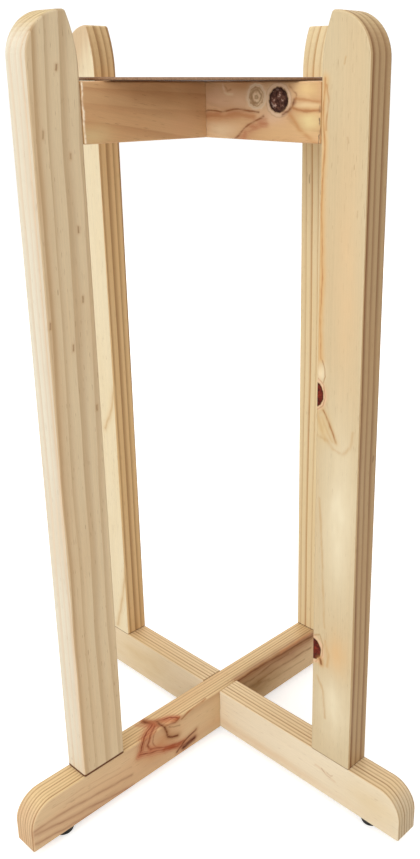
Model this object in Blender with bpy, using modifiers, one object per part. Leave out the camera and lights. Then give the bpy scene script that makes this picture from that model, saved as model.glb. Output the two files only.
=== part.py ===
"""Pine floor stand for a water crock.

Two base beams cross on the floor, four legs stand on them, two rails cross between the legs
near the top, and a thin round seat board lies on the rails. Both crosses are halving joints.

Metres, +Z up. The origin is on the floor under the middle of the stand. The left-right members
lie along X and the front-back members along Y, so the front of the stand is its -Y side.
"""

import math

import bmesh
import bpy
from mathutils import Matrix, Vector

# Driving dimensions
TIMBER_THICK = 0.025
TIMBER_WIDE = 0.044
TOTAL_HEIGHT = 0.686
RAIL_TOP = 0.6385
LEG_OUTER = 0.179
BEAM_REACH = 0.236
SEAT_RADIUS = 0.1143
SEAT_THICK = 0.0025
FOOT_HEIGHT = 0.007
FOOT_REACH = 0.198
GAP = 0.0003

# Worked-out levels
LEG_INNER = LEG_OUTER - TIMBER_WIDE
LEG_MIDDLE = (LEG_INNER + LEG_OUTER) / 2
BEAM_BOTTOM = FOOT_HEIGHT + GAP
BEAM_TOP = BEAM_BOTTOM + TIMBER_WIDE
BEAM_MIDDLE = (BEAM_BOTTOM + BEAM_TOP) / 2
LEG_BOTTOM = BEAM_TOP + GAP
RAIL_BOTTOM = RAIL_TOP - TIMBER_WIDE
RAIL_MIDDLE = (RAIL_BOTTOM + RAIL_TOP) / 2
SEAT_BOTTOM = RAIL_TOP + GAP
SEAT_TOP = SEAT_BOTTOM + SEAT_THICK

# Rounding of the timber
BEAM_END_RADIUS = 0.024
CROWN_RADIUS = 0.033
CROWN_TIP_RADIUS = 0.0025
TAPER_INSET = 0.0085
TAPER_DROP = 0.0205
TAPER_RADIUS = 0.100
EDGE_EASE = 0.0015
SAW_ALLOWANCE = 0.004
SEAT_EDGE_EASE = 0.0005

# Dowels between rails and legs
DOWEL_RADIUS = 0.004
DOWEL_LENGTH = 0.040
DOWEL_CHAMFER = 0.0008
DOWEL_HALF_SPREAD = 0.011

# Screws: head radius, shank radius, length, threads
LEG_SCREW = (0.0048, 0.0025, 0.075, 6)
CROSSING_SCREW = (0.0040, 0.0020, 0.036, 4)
SMALL_SCREW = (0.0033, 0.0017, 0.016, 3)
COUNTERBORE_RADIUS = 0.0065
COUNTERBORE_DEPTH = 0.010
BORE_MARGIN = 0.004
SEAT_SCREW_REACH = 0.090
SCREW_SINK = 0.0004
FOOT_TOP_RADIUS = 0.011
FOOT_BOTTOM_RADIUS = 0.0095
FOOT_EDGE = 0.0012
FOOT_POCKET_RADIUS = 0.0045
FOOT_FLOOR = 0.0030

# Heights of the screw heads
LEG_SCREW_LEVEL = BEAM_BOTTOM + COUNTERBORE_DEPTH
FOOT_SCREW_LEVEL = FOOT_HEIGHT - FOOT_FLOOR - (SMALL_SCREW[0] - SMALL_SCREW[1]) - GAP
SEAT_SCREW_LEVEL = SEAT_TOP - SCREW_SINK

# Facets
CROWN_STEPS = 14
TAPER_STEPS = 6
TIP_STEPS = 3
BEAM_END_STEPS = 12
SEAT_STEPS = 72
DOWEL_STEPS = 16
SCREW_STEPS = 12
FOOT_STEPS = 24

SIDES = (("right", 0), ("back", 90), ("left", 180), ("front", 270))


def clear_scene():
    for obj in list(bpy.data.objects):
        bpy.data.objects.remove(obj, do_unlink=True)


def new_collection(name):
    collection = bpy.data.collections.new(name)
    bpy.context.scene.collection.children.link(collection)
    return collection


def principled(name, colour, roughness, metallic=0.0):
    material = bpy.data.materials.new(name)
    material.use_nodes = True
    material.diffuse_color = (*colour, 1.0)
    shader = material.node_tree.nodes["Principled BSDF"]
    shader.inputs["Base Color"].default_value = (*colour, 1.0)
    shader.inputs["Roughness"].default_value = roughness
    shader.inputs["Metallic"].default_value = metallic
    return material


def place(name, mesh, collection, material=None, location=(0, 0, 0), rotation=(0, 0, 0)):
    obj = bpy.data.objects.new(name, mesh)
    collection.objects.link(obj)
    obj.location = location
    obj.rotation_euler = [math.radians(angle) for angle in rotation]
    if material and not mesh.materials:
        mesh.materials.append(material)
    return obj


def shade_round(mesh):
    """Smooth shading, with the edges sharper than 30 degrees left crisp."""
    mesh.shade_smooth()
    mesh.set_sharp_from_angle(angle=math.radians(30))


def baked(obj, name):
    """The object's evaluated mesh, welded, with the object itself removed."""
    bpy.context.view_layer.update()
    graph = bpy.context.evaluated_depsgraph_get()
    mesh = bpy.data.meshes.new_from_object(obj.evaluated_get(graph))
    mesh.name = name
    mesh.materials.clear()
    bpy.data.objects.remove(obj, do_unlink=True)
    soup = bmesh.new()
    soup.from_mesh(mesh)
    bmesh.ops.remove_doubles(soup, verts=soup.verts, dist=1e-6)
    bmesh.ops.dissolve_limit(soup, angle_limit=math.radians(0.5), verts=soup.verts, edges=soup.edges)
    soup.to_mesh(mesh)
    soup.free()
    shade_round(mesh)
    return mesh


def rounded(corners):
    """An outline from corners (x, y, radius, steps), each sharp where its radius is 0."""
    points = []
    for i, (x, y, radius, steps) in enumerate(corners):
        corner = Vector((x, y))
        if radius == 0:
            points.append(corner)
            continue
        before = (Vector(corners[i - 1][:2]) - corner).normalized()
        after = (Vector(corners[(i + 1) % len(corners)][:2]) - corner).normalized()
        half = before.angle(after) / 2
        centre = corner + (before + after).normalized() * radius / math.sin(half)
        first = corner + before * radius / math.tan(half) - centre
        turn = math.pi - 2 * half
        for step in range(steps + 1):
            points.append(centre + Matrix.Rotation(turn * step / steps, 2) @ first)
    return points


def plank_mesh(name, outline):
    """A flat outline of the timber's thickness, standing in the XZ plane."""
    curve = bpy.data.curves.new(name, "CURVE")
    curve.dimensions = "2D"
    curve.fill_mode = "BOTH"
    curve.extrude = TIMBER_THICK / 2
    spline = curve.splines.new("POLY")
    spline.points.add(len(outline) - 1)
    for point, (x, y) in zip(spline.points, outline):
        point.co = (x, y, 0, 1)
    spline.use_cyclic_u = True
    drawing = bpy.data.objects.new(name, curve)
    bpy.context.scene.collection.objects.link(drawing)
    mesh = baked(drawing, name)
    bpy.data.curves.remove(curve)
    mesh.transform(Matrix.Rotation(math.radians(90), 4, "X"))
    return mesh


def turned_mesh(name, profile, steps):
    """A profile of (radius, height) points turned about Z; it runs down its outer side."""
    mesh = bpy.data.meshes.new(name)
    soup = bmesh.new()
    verts = [soup.verts.new((radius, 0, height)) for radius, height in profile]
    for a, b in zip(verts, verts[1:]):
        soup.edges.new((a, b))
    soup.to_mesh(mesh)
    soup.free()
    blank = bpy.data.objects.new(name, mesh)
    bpy.context.scene.collection.objects.link(blank)
    screw = blank.modifiers.new("Turn", "SCREW")
    screw.steps = steps
    screw.render_steps = steps
    screw.use_merge_vertices = True
    screw.merge_threshold = 0.00001
    screw.use_smooth_shade = False
    return baked(blank, name)


def box_mesh(name, size):
    mesh = bpy.data.meshes.new(name)
    soup = bmesh.new()
    bmesh.ops.create_cube(soup, size=1.0)
    bmesh.ops.scale(soup, vec=Vector(size), verts=soup.verts)
    soup.to_mesh(mesh)
    soup.free()
    return mesh


def as_cutter(obj):
    obj.hide_render = True
    obj.display_type = "WIRE"
    return obj


def ease(obj, width, segments=2):
    bevel = obj.modifiers.new("Eased edges", "BEVEL")
    bevel.width = width
    bevel.segments = segments
    bevel.limit_method = "ANGLE"
    bevel.angle_limit = math.radians(30)


def cut(obj, *tools):
    for tool in tools:
        boolean = obj.modifiers.new("Cut " + tool.name, "BOOLEAN")
        boolean.operation = "DIFFERENCE"
        boolean.solver = "EXACT"
        boolean.object = tool


def along(angle, reach, height):
    """The point at this reach from the axis in the direction of this angle."""
    turn = math.radians(angle)
    return (reach * math.cos(turn), reach * math.sin(turn), height)


# Outlines and profiles


def beam_outline():
    return rounded([
        (-BEAM_REACH, BEAM_BOTTOM, 0, 0),
        (BEAM_REACH, BEAM_BOTTOM, 0, 0),
        (BEAM_REACH, BEAM_TOP, BEAM_END_RADIUS, BEAM_END_STEPS),
        (-BEAM_REACH, BEAM_TOP, BEAM_END_RADIUS, BEAM_END_STEPS),
    ])


def leg_outline():
    """A quarter-round crown on the outer side, and an inner edge that eases back from the seat up.

    The foot is left long, to be sawn square after the edges are eased.
    """
    return rounded([
        (LEG_INNER, LEG_BOTTOM - SAW_ALLOWANCE, 0, 0),
        (LEG_OUTER, LEG_BOTTOM - SAW_ALLOWANCE, 0, 0),
        (LEG_OUTER, TOTAL_HEIGHT, CROWN_RADIUS, CROWN_STEPS),
        (LEG_INNER + TAPER_INSET, TOTAL_HEIGHT, CROWN_TIP_RADIUS, TIP_STEPS),
        (LEG_INNER, TOTAL_HEIGHT - TAPER_DROP, TAPER_RADIUS, TAPER_STEPS),
    ])


def screw_profile(size):
    """A countersunk wood screw, its flat head at height 0 and its point below."""
    head, shank, length, threads = size
    root = shank * 0.72
    cone_end = -(head - root)
    thread_start = cone_end - length * 0.22
    point = length * 0.08
    pitch = (length - point + thread_start) / threads
    profile = [(0, 0), (head, 0), (head, -head * 0.08), (root, cone_end), (root, thread_start)]
    for turn in range(threads):
        top = thread_start - pitch * turn
        profile += [(shank, top - pitch * 0.30), (root, top - pitch * 0.95)]
    profile.append((0, -length))
    return profile


def screw_bore_profile(size, mouth, mouth_radius):
    """The hole a screw sits in, a gap wider than it all round, and open from its head to the mouth."""
    head, shank, length, _ = size
    wide = head + GAP
    narrow = shank + GAP
    collar = -head * 0.08 - GAP
    profile = [(0, mouth), (mouth_radius, mouth), (mouth_radius, collar)]
    if mouth_radius > wide:
        profile.append((wide, collar))
    profile += [(narrow, shank - head - 2 * GAP), (narrow, -length - GAP), (0, -length - GAP)]
    return profile


def flush_bore_profile(size):
    """The hole for a screw whose head lies just under the surface."""
    return screw_bore_profile(size, BORE_MARGIN, size[0] + GAP)


def foot_profile():
    """A tapered rubber bumper with a screw pocket in its underside, its top at height 0."""
    hole = SMALL_SCREW[1] + GAP
    seat = SMALL_SCREW[0] + GAP
    drop = FOOT_FLOOR + seat - hole
    return [
        (hole, 0), (FOOT_TOP_RADIUS - FOOT_EDGE / 2, 0), (FOOT_TOP_RADIUS, -FOOT_EDGE / 2),
        (FOOT_BOTTOM_RADIUS, FOOT_EDGE - FOOT_HEIGHT),
        (FOOT_BOTTOM_RADIUS - FOOT_EDGE * 0.3, FOOT_EDGE * 0.3 - FOOT_HEIGHT),
        (FOOT_BOTTOM_RADIUS - FOOT_EDGE, -FOOT_HEIGHT),
        (FOOT_POCKET_RADIUS, -FOOT_HEIGHT), (FOOT_POCKET_RADIUS, -drop), (seat, -drop),
        (hole, -FOOT_FLOOR), (hole, 0),
    ]


def dowel_profile():
    half = DOWEL_LENGTH / 2
    return [
        (0, half), (DOWEL_RADIUS - DOWEL_CHAMFER, half), (DOWEL_RADIUS, half - DOWEL_CHAMFER),
        (DOWEL_RADIUS, DOWEL_CHAMFER - half), (DOWEL_RADIUS - DOWEL_CHAMFER, -half), (0, -half),
    ]


def dowel_bore_profile():
    half = DOWEL_LENGTH / 2 + GAP
    return [(0, half), (DOWEL_RADIUS + GAP, half), (DOWEL_RADIUS + GAP, -half), (0, -half)]


def screw_mesh(name, size):
    """A turned screw with a cross recess cut into its head."""
    head, shank = size[:2]
    mesh = turned_mesh(name, screw_profile(size), SCREW_STEPS)
    blank = bpy.data.objects.new(name, mesh)
    bpy.context.scene.collection.objects.link(blank)
    depth = head * 0.45
    blades = []
    for angle in (0, 90):
        blade = bpy.data.objects.new("blade", box_mesh("blade", (head * 1.1, head * 0.22, depth)))
        bpy.context.scene.collection.objects.link(blade)
        blade.rotation_euler.z = math.radians(angle)
        blades.append(blade)
    cut(blank, *blades)
    result = baked(blank, name)
    for blade in blades:
        bpy.data.objects.remove(blade, do_unlink=True)
    return result


# Bores, each cut into every piece that its fastener passes through


def dowel_bores(cutters):
    mesh = turned_mesh("dowel_bore", dowel_bore_profile(), DOWEL_STEPS)
    bores = {}
    for side, angle in SIDES:
        for level, offset in (("upper", DOWEL_HALF_SPREAD), ("lower", -DOWEL_HALF_SPREAD)):
            spot = along(angle, LEG_INNER, RAIL_MIDDLE + offset)
            bore = place(f"bore_dowel_{side}_{level}", mesh, cutters, None, spot, (0, 90, angle))
            bores[side, level] = as_cutter(bore)
    return bores


def side_bores(cutters, label, profile, reach, height, tilt):
    """One bore on each side, its mouth up where the tilt is 0 and down where it is 180."""
    mesh = turned_mesh(f"{label}_bore", profile, SCREW_STEPS)
    bores = {}
    for side, angle in SIDES:
        spot = along(angle, reach, height)
        bore = place(f"bore_{label}_{side}", mesh, cutters, None, spot, (tilt, 0, angle))
        bores[side] = as_cutter(bore)
    return bores


def notch(cutters, name, low, high, across_x):
    size = (TIMBER_THICK + 2 * GAP, 3 * TIMBER_THICK, high - low)
    turn = 0 if across_x else 90
    block = place(name, box_mesh(name, size), cutters, None, (0, 0, (low + high) / 2), (0, 0, turn))
    return as_cutter(block)


# Sub-parts


def base_beams(parts, cutters, pine, leg_bores, foot_bores):
    mesh = plank_mesh("base_beam", beam_outline())
    screw = turned_mesh("base_crossing_bore", flush_bore_profile(CROSSING_SCREW), SCREW_STEPS)
    spot = (0, 0, BEAM_BOTTOM + SCREW_SINK)
    crossing = as_cutter(place("bore_base_crossing", screw, cutters, None, spot, (180, 0, 0)))
    margin = 0.01
    upper = notch(cutters, "notch_base_upper", BEAM_MIDDLE - GAP / 2, BEAM_TOP + margin, True)
    lower = notch(cutters, "notch_base_lower", BEAM_BOTTOM - margin, BEAM_MIDDLE + GAP / 2, False)
    beams = (
        ("base_beam_left_right", 0, upper, ("left", "right")),
        ("base_beam_front_back", 90, lower, ("front", "back")),
    )
    for name, angle, recess, sides in beams:
        beam = place(name, mesh, parts, pine, (0, 0, 0), (0, 0, angle))
        ease(beam, EDGE_EASE)
        cut(beam, recess, crossing)
        for side in sides:
            cut(beam, leg_bores[side], foot_bores[side])


def top_rails(parts, cutters, pine, bores, seat_bores):
    length = 2 * (LEG_INNER - GAP)
    mesh = box_mesh("top_rail", (length, TIMBER_THICK, TIMBER_WIDE))
    screw = turned_mesh("top_crossing_bore", flush_bore_profile(CROSSING_SCREW), SCREW_STEPS)
    spot = (0, 0, RAIL_TOP - SCREW_SINK)
    crossing = as_cutter(place("bore_top_crossing", screw, cutters, None, spot))
    margin = 0.01
    upper = notch(cutters, "notch_top_upper", RAIL_MIDDLE - GAP / 2, RAIL_TOP + margin, True)
    lower = notch(cutters, "notch_top_lower", RAIL_BOTTOM - margin, RAIL_MIDDLE + GAP / 2, False)
    rails = (
        ("top_rail_left_right", 0, upper, ("left", "right")),
        ("top_rail_front_back", 90, lower, ("front", "back")),
    )
    for name, angle, recess, sides in rails:
        rail = place(name, mesh, parts, pine, (0, 0, RAIL_MIDDLE), (0, 0, angle))
        ease(rail, EDGE_EASE)
        cut(rail, recess, crossing)
        for side in sides:
            cut(rail, bores[side, "upper"], bores[side, "lower"], seat_bores[side])


def legs(parts, cutters, pine, bores, leg_bores):
    mesh = plank_mesh("leg", leg_outline())
    waste = box_mesh("saw_cut", (3 * LEG_OUTER, 3 * LEG_OUTER, 4 * SAW_ALLOWANCE))
    spot = (0, 0, LEG_BOTTOM - 2 * SAW_ALLOWANCE)
    saw_cut = as_cutter(place("saw_cut", waste, cutters, None, spot))
    for side, angle in SIDES:
        leg = place(f"leg_{side}", mesh, parts, pine, (0, 0, 0), (0, 0, angle))
        ease(leg, EDGE_EASE)
        cut(leg, saw_cut, bores[side, "upper"], bores[side, "lower"], leg_bores[side])


def seat_board(parts, hardboard, seat_bores):
    mesh = bpy.data.meshes.new("seat_board")
    soup = bmesh.new()
    bmesh.ops.create_cone(
        soup, cap_ends=True, segments=SEAT_STEPS, radius1=SEAT_RADIUS, radius2=SEAT_RADIUS,
        depth=SEAT_THICK,
    )
    soup.to_mesh(mesh)
    soup.free()
    shade_round(mesh)
    middle = (SEAT_BOTTOM + SEAT_TOP) / 2
    board = place("seat_board", mesh, parts, hardboard, (0, 0, middle))
    ease(board, SEAT_EDGE_EASE)
    cut(board, *seat_bores.values())


def dowels(parts, beech):
    mesh = turned_mesh("rail_dowel", dowel_profile(), DOWEL_STEPS)
    for side, angle in SIDES:
        for level, offset in (("upper", DOWEL_HALF_SPREAD), ("lower", -DOWEL_HALF_SPREAD)):
            spot = along(angle, LEG_INNER, RAIL_MIDDLE + offset)
            place(f"rail_dowel_{side}_{level}", mesh, parts, beech, spot, (0, 90, angle))


def feet(parts, rubber):
    mesh = turned_mesh("rubber_foot", foot_profile(), FOOT_STEPS)
    for side, angle in SIDES:
        spot = along(angle, FOOT_REACH, FOOT_HEIGHT)
        place(f"rubber_foot_{side}", mesh, parts, rubber, spot, (0, 0, angle))


def leg_and_foot_screws(parts, steel):
    leg_screw = screw_mesh("leg_screw", LEG_SCREW)
    foot_screw = screw_mesh("foot_screw", SMALL_SCREW)
    for side, angle in SIDES:
        upward = (180, 0, angle)
        leg_spot = along(angle, LEG_MIDDLE, LEG_SCREW_LEVEL)
        place(f"leg_screw_{side}", leg_screw, parts, steel, leg_spot, upward)
        foot_spot = along(angle, FOOT_REACH, FOOT_SCREW_LEVEL)
        place(f"foot_screw_{side}", foot_screw, parts, steel, foot_spot, upward)


def crossing_screws(parts, steel):
    mesh = screw_mesh("crossing_screw", CROSSING_SCREW)
    base = (0, 0, BEAM_BOTTOM + SCREW_SINK)
    place("crossing_screw_base", mesh, parts, steel, base, (180, 0, 0))
    top = (0, 0, RAIL_TOP - SCREW_SINK)
    place("crossing_screw_top", mesh, parts, steel, top)


def seat_screws(parts, steel):
    mesh = screw_mesh("seat_screw", SMALL_SCREW)
    for side, angle in SIDES:
        spot = along(angle, SEAT_SCREW_REACH, SEAT_SCREW_LEVEL)
        place(f"seat_screw_{side}", mesh, parts, steel, spot, (0, 0, angle + 20))


def materials():
    return {
        "base_pine": principled("pine_base", (0.62, 0.44, 0.24), 0.50),
        "leg_pine": principled("pine_leg", (0.70, 0.52, 0.31), 0.50),
        "rail_pine": principled("pine_rail", (0.55, 0.34, 0.17), 0.50),
        "hardboard": principled("hardboard", (0.26, 0.16, 0.09), 0.55),
        "beech": principled("beech", (0.60, 0.42, 0.26), 0.60),
        "rubber": principled("rubber", (0.02, 0.02, 0.02), 0.70),
        "steel": principled("zinc_steel", (0.60, 0.60, 0.58), 0.35, 1.0),
        "seat_steel": principled("yellow_zinc_steel", (0.72, 0.58, 0.30), 0.35, 1.0),
    }


def build():
    clear_scene()
    parts = new_collection("crock_stand")
    cutters = new_collection("cutters")
    look = materials()
    rail_bores = dowel_bores(cutters)
    leg_profile = screw_bore_profile(LEG_SCREW, COUNTERBORE_DEPTH + BORE_MARGIN, COUNTERBORE_RADIUS)
    leg_bores = side_bores(cutters, "leg_screw", leg_profile, LEG_MIDDLE, LEG_SCREW_LEVEL, 180)
    small_profile = flush_bore_profile(SMALL_SCREW)
    foot_bores = side_bores(cutters, "foot_screw", small_profile, FOOT_REACH, FOOT_SCREW_LEVEL, 180)
    seat_bores = side_bores(cutters, "seat_screw", small_profile, SEAT_SCREW_REACH, SEAT_SCREW_LEVEL, 0)

    base_beams(parts, cutters, look["base_pine"], leg_bores, foot_bores)
    legs(parts, cutters, look["leg_pine"], rail_bores, leg_bores)
    top_rails(parts, cutters, look["rail_pine"], rail_bores, seat_bores)
    seat_board(parts, look["hardboard"], seat_bores)
    dowels(parts, look["beech"])
    feet(parts, look["rubber"])
    leg_and_foot_screws(parts, look["steel"])
    crossing_screws(parts, look["steel"])
    seat_screws(parts, look["seat_steel"])


build()
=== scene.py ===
"""The look of the pine water crock stand: timber, seat board, feet and screws, camera and light."""

import math

import bpy
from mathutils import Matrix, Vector


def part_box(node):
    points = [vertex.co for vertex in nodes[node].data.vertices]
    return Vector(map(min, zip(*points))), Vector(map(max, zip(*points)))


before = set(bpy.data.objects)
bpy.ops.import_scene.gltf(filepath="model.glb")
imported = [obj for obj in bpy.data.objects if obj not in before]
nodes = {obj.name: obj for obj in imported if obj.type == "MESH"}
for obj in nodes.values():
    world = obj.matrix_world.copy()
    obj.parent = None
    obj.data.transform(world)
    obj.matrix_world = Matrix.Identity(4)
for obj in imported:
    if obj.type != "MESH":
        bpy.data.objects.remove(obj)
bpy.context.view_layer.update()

X = Vector((1, 0, 0))
Y = Vector((0, 1, 0))
Z = Vector((0, 0, 1))
MM = 1000.0  # in a metre

leg_low, leg_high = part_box("leg_front")
HALF_THICK = MM * (leg_high - leg_low).x / 2  # of every timber, in mm
HALF_WIDE = MM * (leg_high - leg_low).y / 2

# Camera, in metres and degrees
EYE = (0.5857, -0.5488, 0.640)
EYE_DOWN = 19.155  # below level
EYE_LEFT = 42.806  # of +Y
LENS = 38.4  # mm
SENSOR = 36.0  # mm wide
SHIFT = (-0.0754, -0.0376)

# Lights: name, place, height that it faces, size across, power and colour
LIGHTS = (
    ("key", (0.85, -2.7, 1.5), 0.35, 2.0, 39.0, (0.95, 0.98, 1.0)),
    ("top", (-0.3, -0.4, 2.8), 0.30, 1.6, 16.0, (1.0, 1.0, 1.0)),
    ("back", (-1.7, 2.1, 1.7), 0.35, 2.0, 24.0, (1.0, 0.98, 0.94)),
)
WHITE = (1.0, 1.0, 1.0, 1.0)
SKY_SEEN = 1.1  # strength of the plain white behind the stand
SKY_LIT = 0.61  # strength of the sky that lights it
SKY_TINT = (1.0, 0.965, 0.91, 1.0)
FLOOR_HALF = 40.0
FLOOR_GREY = (0.8, 0.8, 0.8, 1.0)
FLOOR_GLOW = 0.58  # brings the seen floor up to the white of the sky


def srgb(red, green, blue):
    """A display colour from 0 to 255 as the linear colour that shaders take."""
    linear = []
    for value in (red, green, blue):
        value /= 255
        linear.append(value / 12.92 if value <= 0.04045 else ((value + 0.055) / 1.055) ** 2.4)
    return (*linear, 1.0)


class Graph:
    """A material's node tree, built by calls that return output sockets.

    Nodes are made in the order in which they feed each other, and no Math node clamps. Otherwise
    the timber shaders grow too large for the renderer.
    """

    def __init__(self, name):
        self.material = bpy.data.materials.new(name)
        self.material.use_nodes = True
        self.tree = self.material.node_tree
        self.shader = self.tree.nodes["Principled BSDF"]
        coordinates = self.tree.nodes.new("ShaderNodeTexCoord")
        self.position = coordinates.outputs["Object"]
        self.normal = coordinates.outputs["Normal"]

    def plug(self, socket, value):
        if isinstance(value, bpy.types.NodeSocket):
            self.tree.links.new(value, socket)
        else:
            socket.default_value = value

    def node(self, kind, **settings):
        made = self.tree.nodes.new(kind)
        for name, value in settings.items():
            setattr(made, name, value)
        return made

    def maths(self, operation, *values):
        made = self.node("ShaderNodeMath", operation=operation)
        for socket, value in zip(made.inputs, values):
            self.plug(socket, value)
        return made.outputs[0]

    def add(self, *values):
        total = values[0]
        for value in values[1:]:
            total = self.maths("ADD", total, value)
        return total

    def times(self, *values):
        total = values[0]
        for value in values[1:]:
            total = self.maths("MULTIPLY", total, value)
        return total

    def centred(self, value):
        """Noise from 0 to 1 brought to either side of 0."""
        return self.add(value, -0.5)

    def vector(self, operation, a, b, output="Vector"):
        made = self.node("ShaderNodeVectorMath", operation=operation)
        self.plug(made.inputs[0], a)
        self.plug(made.inputs[1], b)
        return made.outputs[output]

    def dot(self, a, b):
        return self.vector("DOT_PRODUCT", a, b, output="Value")

    def millimetres(self):
        return self.vector("MULTIPLY", self.position, (MM, MM, MM))

    def combine(self, x, y, z):
        made = self.node("ShaderNodeCombineXYZ")
        for socket, value in zip(made.inputs, (x, y, z)):
            self.plug(socket, value)
        return made.outputs[0]

    def noise(self, vector, scale=1.0, detail=2.0, roughness=0.5, distortion=0.0, output=0):
        made = self.node("ShaderNodeTexNoise")
        self.plug(made.inputs["Vector"], vector)
        made.inputs["Scale"].default_value = scale
        made.inputs["Detail"].default_value = detail
        made.inputs["Roughness"].default_value = roughness
        made.inputs["Distortion"].default_value = distortion
        return made.outputs[output]

    def smooth(self, value, low, high, to_low=0.0, to_high=1.0):
        """A soft step: to_low where the value is at low, to_high where it is at high."""
        made = self.node("ShaderNodeMapRange", interpolation_type="SMOOTHSTEP")
        self.plug(made.inputs["Value"], value)
        made.inputs["From Min"].default_value = low
        made.inputs["From Max"].default_value = high
        made.inputs["To Min"].default_value = to_low
        made.inputs["To Max"].default_value = to_high
        return made.outputs["Result"]

    def gauss(self, far, reach):
        """A soft bell: 1 where far is 0, falling over that reach."""
        return self.maths("EXPONENT", self.times(far, far, -1 / (reach * reach)))

    def mix(self, factor, a, b, blend="MIX"):
        made = self.node("ShaderNodeMix", data_type="RGBA", blend_type=blend)
        self.plug(made.inputs[0], factor)
        self.plug(made.inputs[6], a)  # the colour inputs
        self.plug(made.inputs[7], b)
        return made.outputs[2]  # the colour output

    def brighten(self, colour, value):
        made = self.node("ShaderNodeHueSaturation")
        self.plug(made.inputs["Value"], value)
        self.plug(made.inputs["Color"], colour)
        return made.outputs[0]

    def finish(self, colour, rough, height, depth, strength):
        """Joins up the shader. The bump is depth metres high where height is 1."""
        self.plug(self.shader.inputs["Base Color"], colour)
        self.plug(self.shader.inputs["Roughness"], rough)
        bump = self.node("ShaderNodeBump")
        bump.inputs["Strength"].default_value = strength
        bump.inputs["Distance"].default_value = depth
        self.plug(bump.inputs["Height"], height)
        self.plug(self.shader.inputs["Normal"], bump.outputs[0])


def segment_group():
    """A node group that gives how far a point is from one straight line between two ends.

    Start is one end, Run goes from it to the other, and Scale is 1 over Run's length squared.
    """
    tree = bpy.data.node_groups.new("segment", "ShaderNodeTree")
    for name in ("Place", "Start", "Run"):
        tree.interface.new_socket(name, in_out="INPUT", socket_type="NodeSocketVector")
    tree.interface.new_socket("Scale", in_out="INPUT", socket_type="NodeSocketFloat")
    tree.interface.new_socket("Distance", in_out="OUTPUT", socket_type="NodeSocketFloat")
    given = tree.nodes.new("NodeGroupInput")
    result = tree.nodes.new("NodeGroupOutput")

    def vector(operation, *links):
        made = tree.nodes.new("ShaderNodeVectorMath")
        made.operation = operation
        for source, name in links:
            tree.links.new(source, made.inputs[name])
        return made

    off = vector("SUBTRACT", (given.outputs["Place"], 0), (given.outputs["Start"], 1))
    along = vector("DOT_PRODUCT", (off.outputs["Vector"], 0), (given.outputs["Run"], 1))
    scaled = tree.nodes.new("ShaderNodeMath")
    scaled.operation = "MULTIPLY"
    tree.links.new(along.outputs["Value"], scaled.inputs[0])
    tree.links.new(given.outputs["Scale"], scaled.inputs[1])
    share = tree.nodes.new("ShaderNodeClamp")
    tree.links.new(scaled.outputs[0], share.inputs["Value"])
    step = vector("SCALE", (given.outputs["Run"], 0), (share.outputs[0], "Scale"))
    gap = vector("SUBTRACT", (off.outputs["Vector"], 0), (step.outputs["Vector"], 1))
    size = vector("LENGTH", (gap.outputs["Vector"], 0))
    tree.links.new(size.outputs["Value"], result.inputs[0])
    return tree


SEGMENT = segment_group()

# What all the timbers share, with sizes in mm
WAVER_SCALE = (0.07, 0.11, 0.11)  # of the drawn figure, per mm
WAVER = (5.0, 3.0, 2.4)
SWAY_LENGTH = 170.0  # of timber over which the pith wanders
SWAY_WIDE, SWAY_THICK = 6.0, 3.0
RING_WAVE, RING_RIPPLE = 3.0, 0.45  # how far the rings waver, in broad waves and fine ones
RING_UNEVEN, UNEVEN_LENGTH = 1.1, 9.0  # how much the width of the years varies, and over how far
FIRST_YEAR = 100  # keeps the count of years above zero
KNOT_PUSH = -0.85  # how quickly the rings close up again away from a knot
KNOT_DEPTH = 9.0  # from the middle of the timber to where the knot is at its full size
KNOT_RAGGED = 3.4  # size of the bumps in its outline
LATE_START, LATE_END, LATE_POWER = 0.28, 0.93, 1.7  # the share of a year where latewood grows
EDGE_START, EDGE_FULL = 0.55, 0.98  # where a rounded edge takes the edge's tint
FLECK_STRENGTH = 0.4
FLECKS = (  # size across and along, noise offset, where one starts and is full, tint
    (0.55, 9.0, 17.0, 0.765, 0.82, srgb(150, 104, 66)),
    (4.0, 13.0, 19.0, 0.865, 0.90, srgb(134, 92, 62)),
)
PORE = 2600.0  # pores in the end grain, per metre
# Painted shade: a dark line at each leg's foot, for the shadow in the gap above the beam.
FOOT_GAP_SHADE = srgb(98, 46, 8)
FOOT_GAP_SHADE_STRENGTH = 0.97
GRAIN_DEPTH = 0.00016  # metres
TIMBER_GLOSS = 0.2


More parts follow.
